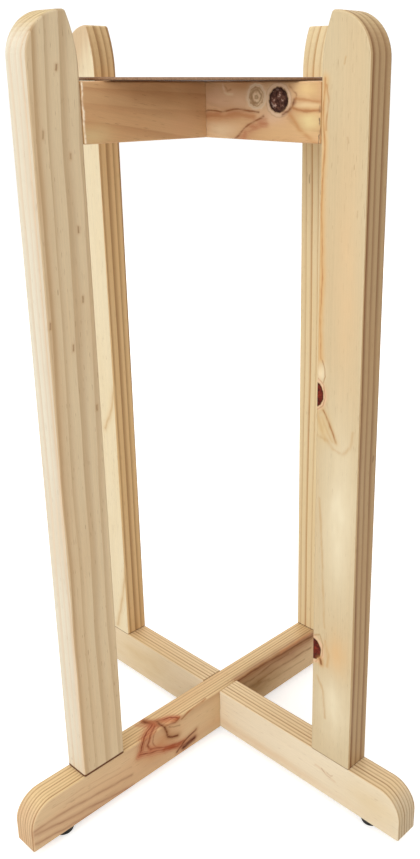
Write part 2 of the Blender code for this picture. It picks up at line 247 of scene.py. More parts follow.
class Timber(Graph):
    """Pine as a solid: growth rings about a pith line, so that every face shows its own cut.

    Positions are in millimetres from the timber's middle: along its length, across its wide face
    and through its thickness. The axes are given as wide, thick and along.

    seed picks the timber's own noise. pith is where the tree's middle lies, across and through,
    slope is how far it drifts for each millimetre along, and spacing is one year's growth. phase
    shifts the rings, wild scales how they waver, and skew leans the fibres. outer tints the narrow
    edge that faces along wide, and inner the opposite one: red, green, blue and how much darker
    the latewood is there. ends tints the end grain. joint is the height of the line of
    painted shade at a leg's foot, for the shadow in the gap above the beam.
    """

    def __init__(self, name, axes, origin, half_length, seed, pith, slope, spacing, palette,
                 phase=0.15, wild=1.0, skew=0.0, joint=0.0, outer=(1, 1, 1, 0), inner=(1, 1, 1, 0),
                 ends=(0.96, 0.88, 0.74), knots=(), strokes=(), patches=()):
        super().__init__(name)
        wide, thick, along = axes
        local = self.vector("SUBTRACT", self.position, origin)
        local = self.vector("MULTIPLY", local, (MM, MM, MM))
        self.along = self.dot(local, along)
        self.wide = self.dot(local, wide)
        self.thick = self.dot(local, thick)
        self.seed = seed
        self.skew = skew
        self.place = self.wavering_place()
        end_grain = self.maths("ABSOLUTE", self.dot(self.normal, along))
        facing = self.dot(self.normal, wide)
        edges = (
            (self.smooth(facing, EDGE_START, EDGE_FULL), outer),
            (self.smooth(facing, -EDGE_START, -EDGE_FULL), inner),
        )
        knots = [self.knot(*knot) for knot in knots]
        self.late = self.latewood(pith, slope, spacing, wild, phase, knots)

        colour = self.clear_wood(palette)
        vein = self.noise(self.stretched(1.1, 90.0, 11.0), detail=3.0, roughness=0.6)
        fibre = self.noise(self.stretched(0.22, 7.0, 13.0), detail=2.0, roughness=0.6)
        shade = self.add(
            self.smooth(vein, 0.3, 0.7, 0.968, 1.026),
            self.smooth(fibre, 0.3, 0.7, -0.035, 0.03),
        )
        colour = self.brighten(colour, shade)
        flecks = []
        for across, length, offset, start, full, tint in FLECKS:
            fleck = self.noise(self.stretched(across, length, offset), detail=0.0)
            flecks.append(self.smooth(fleck, start, full))
            colour = self.mix(self.times(flecks[-1], FLECK_STRENGTH), colour, tint)
        for patch in patches:
            colour = self.patch(colour, *patch)
        for amount, tint in edges:
            colour = self.tint_edge(colour, amount, *tint)
        for knot in knots:
            colour = self.paint_knot(colour, knot)
        if strokes:
            patchy = self.noise(self.stretched(2.2, 11.0, 1.0), detail=2.0)
            self.broken = self.smooth(patchy, 0.25, 0.6, 0.45, 1.0)
        for stroke in strokes:
            colour = self.stroke(colour, *stroke)
        at_end = self.smooth(end_grain, 0.35, 1.0)
        colour = self.mix(at_end, colour, self.end_colour(colour, ends))
        # Painted shade: the lowest part of a leg is darkened into a line, for the shadow in the gap
        # above the beam.
        if joint:
            low = self.smooth(self.along, -half_length + joint, -half_length + joint / 2)
            colour = self.mix(self.times(low, FOOT_GAP_SHADE_STRENGTH), colour, FOOT_GAP_SHADE)

        rough = self.add(
            self.smooth(fibre, 0.3, 0.7, 0.50, 0.62),
            self.times(self.late, -0.06), self.times(at_end, 0.12),
        )
        height = self.add(
            self.times(fibre, 0.5), self.times(self.late, 0.5), self.times(vein, 0.6),
            *(self.times(fleck, -0.8) for fleck in flecks),
        )
        self.finish(colour, rough, height, GRAIN_DEPTH, 0.7)
        self.shader.inputs["Specular IOR Level"].default_value = TIMBER_GLOSS

    def stretched(self, across, along, offset=0.0):
        """A vector for noise drawn out along the grain, whose features are across by along mm.

        The offset keeps one noise from repeating another.
        """
        sideways = self.wide
        if self.skew:
            sideways = self.add(self.wide, self.times(self.along, self.skew))
        return self.combine(
            self.add(self.times(sideways, 1 / across), self.seed + offset),
            self.times(self.thick, 1 / across),
            self.times(self.along, 1 / along),
        )

    def wavering_place(self):
        """The position with a small waver, so that drawn figure never runs dead straight."""
        place = self.combine(self.along, self.wide, self.thick)
        scaled = self.vector("MULTIPLY", place, WAVER_SCALE)
        waver = self.noise(scaled, detail=3.0, output="Color")
        shift = self.vector("SUBTRACT", waver, (0.5, 0.5, 0.5))
        return self.vector("ADD", place, self.vector("MULTIPLY", shift, WAVER))

    def latewood(self, pith, slope, spacing, wild, phase, knots):
        """Latewood from 0 to 1: it rises through each year's ring and ends sharply."""
        drift = self.combine(self.times(self.along, 1 / SWAY_LENGTH), self.seed, 0.0)
        sway = self.noise(drift, detail=1.0, output="Color")
        parts = self.node("ShaderNodeSeparateColor")
        self.plug(parts.inputs[0], sway)
        sideways = self.times(self.centred(parts.outputs[0]), SWAY_WIDE * wild)
        inward = self.times(self.centred(parts.outputs[1]), SWAY_THICK * wild)
        w = self.add(self.wide, -pith[0], self.times(self.along, slope[0]), sideways)
        t = self.add(self.thick, -pith[1], self.times(self.along, slope[1]), inward)
        radius = self.maths("SQRT", self.add(self.times(w, w), self.times(t, t)))
        wave = self.centred(self.noise(self.stretched(38.0, 260.0, 3.0), detail=1.0))
        ripple = self.centred(self.noise(self.stretched(5.0, 70.0, 5.0), detail=2.0))
        radius = self.add(
            radius, self.times(wave, RING_WAVE * wild), self.times(ripple, RING_RIPPLE * wild)
        )
        for knot in knots:
            near = self.maths("EXPONENT", self.times(knot["reach"], KNOT_PUSH))
            radius = self.add(radius, self.times(near, knot["lift"]))
        outermost = math.hypot(pith[0], HALF_THICK + abs(pith[1]))
        radius = self.add(radius, -outermost)
        uneven = self.combine(self.times(radius, 1 / UNEVEN_LENGTH), self.seed, 2.0)
        uneven = self.centred(self.noise(uneven, detail=1.0))
        years = self.add(
            self.times(radius, 1 / spacing), self.times(uneven, RING_UNEVEN), phase + FIRST_YEAR
        )
        year = self.maths("FLOOR", years)
        share = self.maths("FRACT", years)
        which = self.add(year, self.seed)
        luck = self.node("ShaderNodeTexWhiteNoise", noise_dimensions="1D")
        self.plug(luck.inputs["W"], which)
        rise = self.maths("POWER", self.smooth(share, LATE_START, LATE_END), LATE_POWER)
        fall = self.smooth(share, LATE_END, 1.0, 1.0, 0.0)
        return self.times(rise, fall, self.smooth(luck.outputs[0], 0.0, 1.0, 0.5, 1.0))

    def clear_wood(self, palette):
        late = self.times(self.late, palette["contrast"])
        colour = self.mix(late, palette["early"], palette["late"])
        cloud = self.noise(self.stretched(30.0, 140.0, 9.0), detail=2.0)
        cloud = self.smooth(cloud, 0.35, 0.75, 0.0, palette["cloud"])
        return self.mix(cloud, colour, palette["warm"])

    def tint_edge(self, colour, amount, red, green, blue, deep):
        colour = self.mix(amount, colour, (red, green, blue, 1.0), "MULTIPLY")
        if deep:
            darker = self.times(amount, self.late, -deep)
            colour = self.brighten(colour, self.add(1.0, darker))
        return colour

    def end_colour(self, colour, tint):
        pores = self.noise(self.vector("MULTIPLY", self.position, (PORE, PORE, PORE)), detail=1.0)
        golden = self.mix(1.0, colour, (*tint, 1.0), "MULTIPLY")
        value = self.add(self.smooth(pores, 0.3, 0.7, 0.93, 1.04), self.times(self.late, -0.18))
        return self.brighten(golden, value)

    def patch(self, colour, centre, reach, tint, strength):
        """A soft cloud of another tone."""
        off = self.vector("SUBTRACT", self.place, centre)
        off = self.vector("MULTIPLY", off, tuple(1 / size for size in reach))
        cloud = self.centred(self.noise(self.stretched(9.0, 26.0, centre[0]), detail=2.0))
        amount = self.maths("EXPONENT", self.times(self.dot(off, off), -1.0))
        amount = self.times(amount, self.add(1.0, self.times(cloud, 1.1)))
        return self.mix(self.times(amount, strength), colour, tint)

    def distance(self, points):
        """How far the surface is from a bent line through these points."""
        nearest = None
        for start, stop in zip(points, points[1:]):
            run = Vector(stop) - Vector(start)
            piece = self.node("ShaderNodeGroup", node_tree=SEGMENT)
            self.plug(piece.inputs["Place"], self.place)
            self.plug(piece.inputs["Start"], start)
            self.plug(piece.inputs["Run"], run)
            self.plug(piece.inputs["Scale"], 1 / run.length_squared)
            gap = piece.outputs[0]
            nearest = gap if nearest is None else self.maths("MINIMUM", nearest, gap)
        return nearest

    def stroke(self, colour, points, width, tint, strength, halo=0.0, halo_tint=None,
               halo_strength=0.0, pitch=0.0):
        """A line of figure in the grain, with a wider stain about it where halo is given.

        With a pitch the stain holds finer lines that run beside the first at that distance.
        """
        far = self.distance(points)
        if halo:
            stain = self.gauss(far, halo)
            colour = self.mix(self.times(stain, halo_strength), colour, halo_tint)
            if pitch:
                beside = self.maths("COSINE", self.times(far, 2 * math.pi / pitch))
                beside = self.times(stain, self.smooth(beside, -0.1, 1.0), self.broken)
                colour = self.mix(self.times(beside, strength * 0.55), colour, tint)
        line = self.times(self.gauss(far, width), self.broken, strength)
        return self.mix(line, colour, tint)

    def knot(self, along, wide, reach_along, reach_wide, face, lift, tone):
        """A branch through the thickness, which opens on the face of that sign.

        Its reach field is 1 at the edge of the knot. lift is how far it pushes the rings, in mm.
        """
        ragged = self.stretched(KNOT_RAGGED, KNOT_RAGGED, along)
        ragged = self.centred(self.noise(ragged, detail=3.0))
        a = self.times(self.add(self.along, -along), 1 / reach_along)
        w = self.times(self.add(self.wide, -wide), 1 / reach_wide)
        reach = self.maths("SQRT", self.add(self.times(a, a), self.times(w, w)))
        reach = self.add(reach, self.times(ragged, tone["ragged"]))
        depth = self.smooth(self.times(self.thick, face), 0.0, KNOT_DEPTH, 3.0, 0.0)
        reach = self.add(reach, depth)
        return {"reach": reach, "lift": lift, "tone": tone, "seed": along}

    def paint_knot(self, colour, knot):
        """Stained wood about the knot, a pale collar, the bark line and the mottled heart."""
        tone, reach = knot["tone"], knot["reach"]
        stain = self.smooth(reach, 1.0, tone["halo_size"], tone["halo"], 0.0)
        colour = self.mix(stain, colour, tone["resin"])
        loops = self.maths("SINE", self.times(reach, tone["rings"] * 2 * math.pi))
        fading = self.smooth(reach, 1.0, tone["halo_size"], 1.0, 0.0)
        loops = self.times(self.smooth(loops, 0.2, 1.0), fading)
        colour = self.mix(self.times(loops, tone["loops"]), colour, tone["loop"])
        collar = self.smooth(reach, 1.22, 1.4, 1.0, 0.0)
        collar = self.times(self.smooth(reach, 0.98, 1.1), collar)
        colour = self.mix(self.times(collar, tone["collar"]), colour, tone["pale"])

        inside = self.smooth(reach, 0.93, 1.03, 1.0, 0.0)
        grit = tone["grit"]
        mottle = self.stretched(grit, grit, knot["seed"] + 3.0)
        mottle = self.noise(mottle, detail=2.0, roughness=0.7)
        split = self.stretched(1.5, 1.9, knot["seed"] + 7.0)
        split = self.centred(self.noise(split, detail=2.0, distortion=1.2))
        split = self.smooth(self.maths("ABSOLUTE", split), 0.0, 0.045, 1.0, 0.0)
        growth = self.maths("SINE", self.times(reach, tone["growth"] * 2 * math.pi))
        growth = self.smooth(growth, -0.7, 1.0)
        heart = self.mix(self.smooth(mottle, 0.36, 0.6), tone["dark"], tone["brown"])
        light = self.times(self.smooth(mottle, 0.55, 0.66), tone["flecks"])
        heart = self.mix(light, heart, tone["light"])
        heart = self.mix(self.times(growth, tone.get("ring_share", 0.3)), heart, tone["dark"])
        heart = self.mix(self.times(split, tone["cracks"]), heart, tone["crack"])
        rim = self.smooth(reach, tone["rim_from"], 0.95)
        heart = self.mix(self.times(rim, tone["rim"]), heart, tone["bark"])
        return self.mix(self.times(inside, tone["strength"]), colour, heart)


def wear(material, *names):
    """The material goes on these nodes."""
    for name in names:
        piece = nodes[name]
        if not piece.material_slots:
            piece.data.materials.append(material)
        for held in piece.material_slots:
            held.material = material


def named(*starts):
    """The nodes whose names start with one of these."""
    return [name for name in nodes if name.startswith(starts)]


# Timber palettes. contrast is how strongly the latewood shows, and cloud how strongly the warm tone
# does.
PALE = {
    "early": srgb(236, 220, 186), "late": srgb(192, 142, 92), "warm": srgb(230, 206, 160),
    "contrast": 0.9, "cloud": 0.3,
}
IVORY = {
    "early": srgb(238, 222, 194), "late": srgb(184, 132, 84), "warm": srgb(232, 206, 168),
    "contrast": 0.95, "cloud": 0.4,
}
YELLOW = {
    "early": srgb(214, 194, 157), "late": srgb(146, 98, 56), "warm": srgb(213, 185, 143),
    "contrast": 1.0, "cloud": 0.45,
}
PINKISH = {
    "early": srgb(230, 208, 172), "late": srgb(172, 134, 92), "warm": srgb(220, 189, 148),
    "contrast": 0.74, "cloud": 0.5,
}
TAN = {
    "early": srgb(230, 198, 156), "late": srgb(174, 116, 70), "warm": srgb(222, 176, 132),
    "contrast": 0.8, "cloud": 0.5,
}
GOLDEN = {
    "early": srgb(218, 176, 130), "late": srgb(176, 120, 76), "warm": srgb(208, 156, 108),
    "contrast": 0.5, "cloud": 0.6,
}

# Knots. halo_size, rim_from and ragged are shares of the knot's reach, and grit is the size of its
# mottling in mm. rings and growth count the rings to one reach, outside and inside the knot. halo,
# loops, collar, flecks, ring_share, cracks and rim are the strengths of resin, loop, pale, light,
# dark, crack and bark.
DEAD_KNOT = {
    "halo_size": 1.75, "halo": 0.6, "resin": srgb(210, 178, 146), "rings": 3.2, "loops": 0.6,
    "loop": srgb(158, 112, 78), "collar": 0.6, "pale": srgb(222, 194, 164), "growth": 1.6,
    "dark": srgb(58, 28, 22), "brown": srgb(128, 88, 72), "light": srgb(222, 190, 174), "flecks": 0.85,
    "cracks": 0.8, "crack": srgb(34, 14, 12), "strength": 1.0, "rim": 0.95, "rim_from": 0.6,
    "bark": srgb(40, 14, 12), "ragged": 0.3, "grit": 4.4,
}
RED_KNOT = {
    "halo_size": 1.7, "halo": 0.35, "resin": srgb(214, 166, 112), "rings": 1.4, "loops": 0.35,
    "loop": srgb(178, 126, 84), "collar": 0.75, "pale": srgb(232, 194, 160), "growth": 1.5,
    "dark": srgb(74, 16, 6), "brown": srgb(128, 38, 18), "light": srgb(170, 84, 60), "flecks": 0.25,
    "cracks": 0.35, "crack": srgb(54, 18, 12), "strength": 1.0, "rim": 0.8, "rim_from": 0.78,
    "bark": srgb(70, 20, 8), "ragged": 0.22, "grit": 4.0,
}
PALE_EYE = {
    "halo_size": 1.7, "halo": 0.6, "resin": srgb(222, 196, 164), "rings": 2.0, "loops": 0.6,
    "loop": srgb(166, 130, 94), "collar": 0.6, "pale": srgb(228, 206, 176), "growth": 2.0,
    "dark": srgb(160, 124, 88), "brown": srgb(214, 184, 148), "light": srgb(230, 208, 176),
    "flecks": 0.5, "cracks": 0.0, "crack": srgb(150, 112, 80), "strength": 0.9, "rim": 0.75,
    "rim_from": 0.78, "bark": srgb(164, 126, 90), "ragged": 0.5, "grit": 8.0, "ring_share": 0.75,
}

# Tones of the drawn figure. Each line of figure gives its points, then its width, tint and strength.
# After them may come the width, tint and strength of a stain about it, and the pitch of finer lines
# in that stain. Each cloud gives its centre, its reach, its tint and its strength.
RED_LINE = srgb(124, 46, 18)
RED_STAIN = srgb(192, 108, 66)
ROSY_STAIN = srgb(206, 132, 94)
RAIL_LINE = srgb(136, 76, 40)
RESIN_LINE = srgb(184, 120, 64)
RESIN_STAIN = srgb(222, 180, 124)
FAINT_LINE = srgb(200, 160, 110)
CREAM = srgb(238, 224, 192)


def flat(face, *places):
    """Points on a wide face, from their places along and across the timber."""
    return tuple((along, wide, face) for along, wide in places)


def beam_figure():
    """The wild grain in front of the crossing on base_beam_front_back, on its top and right side."""
    top, side = HALF_WIDE, HALF_THICK
    fan, pale_fan = srgb(180, 130, 96), srgb(200, 154, 120)
    shadow, warm_shadow = srgb(128, 78, 42), srgb(168, 116, 76)
    return (
        # streaks that spread towards the near end
        (flat(side, (-233, 0), (-205, 0), (-128, -8)), 1.2, fan, 0.6, 2.6, pale_fan, 0.5),
        (flat(side, (-233, -4), (-185, -12), (-128, -21)), 0.9, fan, 0.8, 3.4, pale_fan, 0.6),
        (flat(side, (-233, -13), (-204, -18), (-160, -22)), 1.1, fan, 0.7, 2.8, pale_fan, 0.5),
        (flat(side, (-200, 7), (-170, 5), (-128, 1)), 0.8, pale_fan, 0.6),
        (flat(side, (-214, 12), (-180, 12), (-140, 8)), 0.6, pale_fan, 0.5),
        # the flame on the top edge
        (((-86, top, 4), (-72, top, side)), 3.6, srgb(196, 118, 70), 0.8),
        (((-95, top, -8), (-89, top, 0), (-75, top, 6), (-69, top, side)), 0.8, RED_LINE, 0.85,
         3.6, RED_STAIN, 0.8, 2.4),
        (((-89, top, 7), *flat(side, (-81, 21), (-72, 19), (-68, 21))), 0.9, srgb(150, 76, 40), 0.75),
        (((-95, top, -8), (-92, top, 2), (-89, top, 5)), 1.6, srgb(108, 48, 12), 0.9,
         4.2, srgb(170, 104, 60), 0.75),
        (((-104, top, -9), (-96, top, 1)), 2.2, srgb(196, 122, 84), 0.6),
        # the hook
        (((-87, top, 2), *flat(side, (-86, top), (-82, 8), (-76, 4), (-70, 2))), 1.2,
         srgb(108, 44, 8), 1.0, 3.8, srgb(178, 122, 78), 0.75),
        (flat(side, (-80, 18), (-74, 14), (-67, 12)), 0.9, srgb(160, 108, 68), 0.7),
        # nested arcs that come down on the side
        (((-93, top, 2), (-102, top, 6), *flat(side, (-112, top), (-117, 8))), 1.0, RED_LINE, 0.85,
         4.6, RED_STAIN, 0.8, 2.4),
        (((-92, top, 5), *flat(side, (-103, top), (-108, 13), (-103, 5))), 1.0, RED_LINE, 0.75,
         2.8, RED_STAIN, 0.65),
        (((-89, top, 8), *flat(side, (-98, top), (-102, 13), (-97, 4))), 0.8, srgb(166, 94, 56), 0.7),
        # the foot of the arcs
        (flat(side, (-117, 8), (-70, -11)), 1.0, RED_LINE, 0.8, 3.6, ROSY_STAIN, 0.75, 2.2),
        (flat(side, (-104, 7), (-82, -4), (-63, -9)), 0.9, srgb(142, 66, 34), 0.75,
         3.0, ROSY_STAIN, 0.65),
        (flat(side, (-86, -5), (-67, -10)), 3.2, srgb(168, 78, 42), 0.85),
        # the dark crossing below it
        (flat(side, (-72, -17), (-62, -10), (-46, -5)), 1.0, srgb(92, 32, 8), 0.95,
         3.2, srgb(190, 124, 84), 0.6),
        (flat(side, (-63, -16), (-49, -14)), 2.8, srgb(88, 26, 10), 1.0, 4.4, RED_STAIN, 0.6),
        ((*flat(side, (-64, 18), (-50, top)), (-30, top, 11)), 1.0, srgb(168, 98, 48), 0.8),
        # dark streaks past the crossing
        (flat(side, (13, 20), (50, 20), (132, 16)), 1.5, shadow, 0.85, 5.0, warm_shadow, 0.8, 3.1),
        (flat(side, (13, 12), (39, 11), (66, 14), (92, 13)), 1.3, shadow, 0.6),
        (flat(side, (44, 3), (84, 4), (130, 2)), 1.2, srgb(142, 96, 56), 0.7),
        (flat(side, (16, 4), (40, 2), (60, -3)), 1.8, srgb(140, 100, 58), 0.5),
        (flat(side, (60, -6), (120, -8)), 0.9, srgb(164, 122, 80), 0.5),
        (flat(side, (80, 21), (128, 21)), 1.8, srgb(206, 142, 96), 0.7),
    )


def rail_figure():
    """The grain that flows round the knots on the front of top_rail_left_right, and painted shade in the
    gap at its end, against the leg.
    """
    face = -HALF_THICK
    line = srgb(170, 116, 76)
    return (
        (flat(face, (12, -5), (50, -3), (66, -4)), 3.4, srgb(188, 124, 80), 0.75),
        (flat(face, (12, -1), (32, -1), (50, 1), (72, -1)), 0.8, RAIL_LINE, 0.85),
        (flat(face, (51, -24), (60, -15), (78, -8)), 4.0, srgb(180, 108, 74), 0.75),
        (flat(face, (45, -22), (51, -18), (60, -11), (77, -4)), 0.9, RAIL_LINE, 0.85),
        (flat(face, (109, 9), (107, 4), (102, 0), (97, -2)), 1.1, srgb(112, 64, 40), 0.85,
         2.2, srgb(196, 150, 112), 0.6),
        (flat(face, (104, 19), (110, 13), (110, 8)), 0.9, line, 0.75),
        (flat(face, (110, 10), (120, 9), (133, 8)), 1.3, srgb(188, 130, 80), 0.7),
        (flat(face, (108, 3), (118, 1), (133, 2)), 1.1, srgb(168, 106, 62), 0.75,
         2.6, srgb(204, 150, 98), 0.5),
        (flat(face, (104, -2), (114, -12), (132, -23)), 2.0, srgb(198, 144, 92), 0.75),
        (flat(face, (33, 19), (34, 14), (38, 12), (43, 12)), 1.1, srgb(234, 208, 172), 0.75),
        (flat(face, (35, 18), (38, 15), (42, 16)), 0.8, line, 0.75),
        # Painted shade: dark lines in the gap where the rail's end meets the leg.
        (flat(face, (134, -22), (134, -4)), 0.5, srgb(66, 34, 18), 0.9),
        (flat(face, (134, 1), (134, 5)), 0.8, srgb(96, 54, 30), 0.9),
    )


def rail_clouds():
    """Paler and darker wood about the knots of that rail."""
    face = -HALF_THICK
    return (
        ((30, -7, face), (18, 5, 9), srgb(212, 160, 116), 0.7),
        ((28, -16, face), (22, 7, 9), srgb(234, 204, 164), 0.8),
        ((40, 9, face), (34, 9, 9), srgb(232, 194, 160), 0.8),
        ((54, 19, face), (18, 5, 9), srgb(184, 128, 82), 0.7),
        ((82, 10, face), (26, 12, 9), srgb(214, 182, 148), 0.6),
        ((84, -5, face), (14, 5, 9), srgb(226, 190, 158), 0.6),
        ((122, 16, face), (11, 5, 9), srgb(232, 200, 142), 0.7),
        ((121, 5, face), (13, 2, 9), srgb(238, 212, 166), 0.7),
        ((124, -7, face), (12, 8, 9), srgb(230, 208, 152), 0.85),
        ((92, -16, face), (20, 7, 9), srgb(220, 180, 130), 0.6),
    )


def right_leg_figure():
    """Resin and callus lines by the two knots on the front of the right leg, at its inner edge."""
    face = -HALF_THICK
    callus, fleck = srgb(172, 122, 80), srgb(180, 140, 100)
    return (
        (flat(face, (62, -18), (96, -20), (125, -18), (185, -20), (222, -18), (252, -20), (272, -18)),
         0.8, RESIN_LINE, 0.75, 3.2, RESIN_STAIN, 0.75),
        (flat(face, (56, -23), (120, -24), (190, -23)), 0.9, RESIN_LINE, 0.6, 3.0, RESIN_STAIN, 0.6),
        (flat(face, (236, -17), (256, -15), (268, -17)), 0.8, RESIN_LINE, 0.6),
        # about the upper knot
        (flat(face, (61, -17), (54, -14), (47, -13), (42, -15)), 0.6, callus, 0.8),
        (flat(face, (17, -23), (23, -15), (30, -13), (40, -15), (45, -20)), 0.6, callus, 0.7),
        (flat(face, (19, -15), (12, -10), (-5, -1)), 1.0, srgb(164, 108, 58), 0.9,
         2.6, srgb(206, 166, 112), 0.5),
        (flat(face, (15, -22), (4, -17), (-6, -11)), 2.4, srgb(206, 168, 116), 0.6),
        (flat(face, (12, -16), (2, -10), (-6, -5)), 1.4, srgb(208, 172, 122), 0.6),
        (flat(face, (-4, -22), (-6, -10), (-12, -4), (-14, 6), (-6, 14), (6, 16)),
         1.7, FAINT_LINE, 0.45),
        (flat(face, (-60, -17), (-114, -13), (-182, -9)), 1.2, FAINT_LINE, 0.55),
        # about the lower knot
        (flat(face, (-195, -22), (-192, -14), (-200, -10), (-212, -11), (-222, -18)), 0.7,
         srgb(182, 134, 88), 0.7),
        (flat(face, (-217, -13), (-221, -12)), 1.3, srgb(122, 66, 24), 0.85,
         3.4, srgb(206, 150, 88), 0.7),
        (flat(face, (-196, -8), (-208, -4), (-220, -5)), 1.6, srgb(206, 160, 104), 0.6),
        (flat(face, (-236, -16), (-248, -9), (-276, -6)), 1.4, FAINT_LINE, 0.6),
        # single flecks
        (flat(face, (286, 0), (282, -1)), 0.8, FAINT_LINE, 0.6),
        (flat(face, (231, 3), (227, 4)), 0.8, fleck, 0.6),
        (flat(face, (180, 14), (176, 14)), 0.8, fleck, 0.6),
    )


def right_leg_clouds():
    """Cream and golden wood on the front of the right leg."""
    face = -HALF_THICK
    return (
        ((50, -18, face), (8, 5, 9), srgb(246, 232, 198), 0.95),
        ((120, -20, face), (90, 5, 9), srgb(226, 190, 138), 0.6),
        ((130, 6, face), (110, 12, 9), srgb(228, 196, 152), 0.6),
        ((-75, 4, face), (70, 15, 9), CREAM, 0.85),
        ((-204, 6, face), (22, 13, 9), srgb(226, 186, 134), 0.7),
        ((-262, 4, face), (34, 16, 9), CREAM, 0.8),
        ((4, -14, face), (12, 8, 9), srgb(226, 200, 148), 0.6),
    )


def pin_marks(*places):
    """Short dark pin marks, with a little stain, on the right-hand face of the front leg."""
    half, skew = 2, 0.4
    return tuple(
        (((along + half, wide, HALF_THICK), (along - half, wide + skew, HALF_THICK)), 0.65,
         srgb(146, 102, 66), 0.7, 1.8, srgb(196, 154, 112), 0.4)
        for along, wide in places
    )


def arches():
    """Tips of growth rings that run out on the front of the left leg, by its inner edge."""
    face = -HALF_THICK
    tone, stain = srgb(206, 170, 122), srgb(220, 190, 144)
    return (
        (flat(face, (-26, -23), (-50, -17), (-62, -11), (-74, -4)), 1.3, tone, 0.6, 3.5, stain, 0.6),
        (flat(face, (-236, -23), (-264, -18), (-290, -11), (-312, -4)), 1.3, tone, 0.6, 3.5, stain, 0.6),
    )


def curl():
    """A small eye of wild grain on the front of base_beam_left_right, under the right leg."""
    face = -HALF_THICK
    return (
        (flat(face, (141, 6), (150, 5), (156, 2), (164, 0)), 1.6, srgb(222, 190, 150), 0.5),
        (flat(face, (149, 6), (153, 2), (158, 1.6)), 0.7, srgb(184, 142, 108), 0.7),
        (flat(face, (155, 5), (159, 4), (161, 5.5)), 0.6, srgb(192, 150, 112), 0.6),
    )


def pine(name, wide, thick, along, **look):
    """Pine on one timber, with the directions of its width, its thickness and its length."""
    low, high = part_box(name)
    half_length = MM * (high - low).dot(along) / 2
    axes = (wide, thick, along)
    timber = Timber(f"pine_{name}", axes, (low + high) / 2, half_length, **look)
    wear(timber.material, name)


def legs():
    # The height given for each leg's foot is a line of painted shade, for the shadow in the gap above
    # the beam.
    pine(
        "leg_front", -Y, X, Z, seed=1.0, pith=(-60, -100), slope=(0.004, 0.002), spacing=5.4,
        palette=PINKISH, wild=1.5, joint=2.6, outer=(1.02, 1.16, 1.42, -0.3), ends=(0.93, 0.91, 0.77),
        strokes=pin_marks(
            (279, -3), (234, 12), (218, -10), (165, -12), (112, -12), (76, 0), (97, 19), (23, -18)
        ),
        patches=(((60, 19, HALF_THICK), (330, 7, 9), srgb(204, 168, 126), 0.5),),
    )
    pine(
        "leg_left", -X, Y, Z, seed=2.0, pith=(-6, 240), slope=(0.001, 0.003), spacing=7.4,
        palette=PALE, joint=0.6, inner=(0.91, 0.74, 0.56, 0.42), strokes=arches(),
    )
    pine(
        "leg_right", X, Y, Z, seed=3.0, pith=(6, 260), slope=(0.001, 0.002), spacing=7.6,
        palette=YELLOW, joint=0.5, outer=(0.80, 0.67, 0.57, 0.08),
        knots=(
            (31.0, -24.0, 10.8, 9.4, -1, 3.0, RED_KNOT),
            (-208.6, -23.0, 11.0, 10.8, -1, 3.0, RED_KNOT),
        ),
        strokes=right_leg_figure(), patches=right_leg_clouds(),
    )
    pine(
        "leg_back", Y, X, Z, seed=4.0, pith=(10, -200), slope=(0.002, -0.002), spacing=7.0,
        palette=PALE, joint=0.8, inner=(0.99, 0.94, 0.84, 0.05),
    )


def base_beams():
    pine(
        "base_beam_left_right", Z, Y, X, seed=5.0, pith=(4, 300), slope=(0.0005, 0.001), spacing=3.8,
        # The end-grain tint here also carries painted shade: the right end, which faces away from the
        # key light, is made darker.
        palette=IVORY, wild=0.4, outer=(0.97, 0.87, 0.71, 0.3), ends=(0.84, 0.79, 0.71),
        strokes=curl(),
        patches=(
            ((60, -14, -HALF_THICK), (110, 5, 9), srgb(226, 196, 158), 0.6),
            ((-120, 0, -HALF_THICK), (80, 30, 9), srgb(218, 190, 144), 0.7),
            ((205, 0, -HALF_THICK), (34, 20, 9), srgb(228, 204, 162), 0.6),
        ),
    )
    pine(
        "base_beam_front_back", Z, X, Y, seed=6.0, pith=(-8, -240), slope=(0.001, 0.003), spacing=3.4,
        palette=TAN, phase=0.32, wild=0.5, outer=(1.02, 1.05, 0.97, 0.2), ends=(0.94, 0.93, 0.92),
        strokes=beam_figure(),
        patches=(
            ((40, 6, HALF_THICK), (44, 26, 9), srgb(166, 128, 84), 0.85),
            ((95, 12, HALF_THICK), (44, 12, 9), srgb(176, 130, 94), 0.7),
            ((-94, 5, HALF_THICK), (22, 15, 9), srgb(204, 146, 102), 0.9),
            ((-40, -12, HALF_THICK), (50, 6, 9), srgb(220, 176, 134), 0.5),
        ),
    )


def top_rails():
    pine(
        "top_rail_front_back", Z, X, Y, seed=7.0, pith=(-30, -60), slope=(0.03, 0.02), spacing=4.8,
        palette=GOLDEN, skew=0.18,
        # Painted highlight: a near-white line on the rounded edge at the rail's front end, where it
        # meets the leg.
        strokes=((flat(HALF_THICK, (-134, 22), (-134, -22)), 0.9, srgb(255, 240, 214), 0.9),),
        patches=(
            # Painted shade: these two darker clouds on the upper half of the face stand for the shadow
            # under the seat board.
            ((-70, 12, HALF_THICK), (46, 12, 9), srgb(172, 122, 78), 0.45),
            ((-24, 14, HALF_THICK), (12, 14, 9), srgb(172, 122, 82), 0.25),
            ((-38, -12, HALF_THICK), (16, 10, 9), srgb(222, 174, 130), 0.7),
            ((-126, -16, HALF_THICK), (16, 7, 9), srgb(226, 202, 150), 0.6),
        ),
    )
    pine(
        "top_rail_left_right", Z, Y, X, seed=8.0, pith=(20, 64), slope=(0.02, 0.03), spacing=5.2,
        palette=GOLDEN, wild=1.6,
        knots=(
            (92.8, 8.4, 9.9, 9.5, -1, 10.0, DEAD_KNOT),
            (69.5, 10.6, 8.0, 7.4, -1, 7.0, PALE_EYE),
        ),
        strokes=rail_figure(), patches=rail_clouds(),
    )


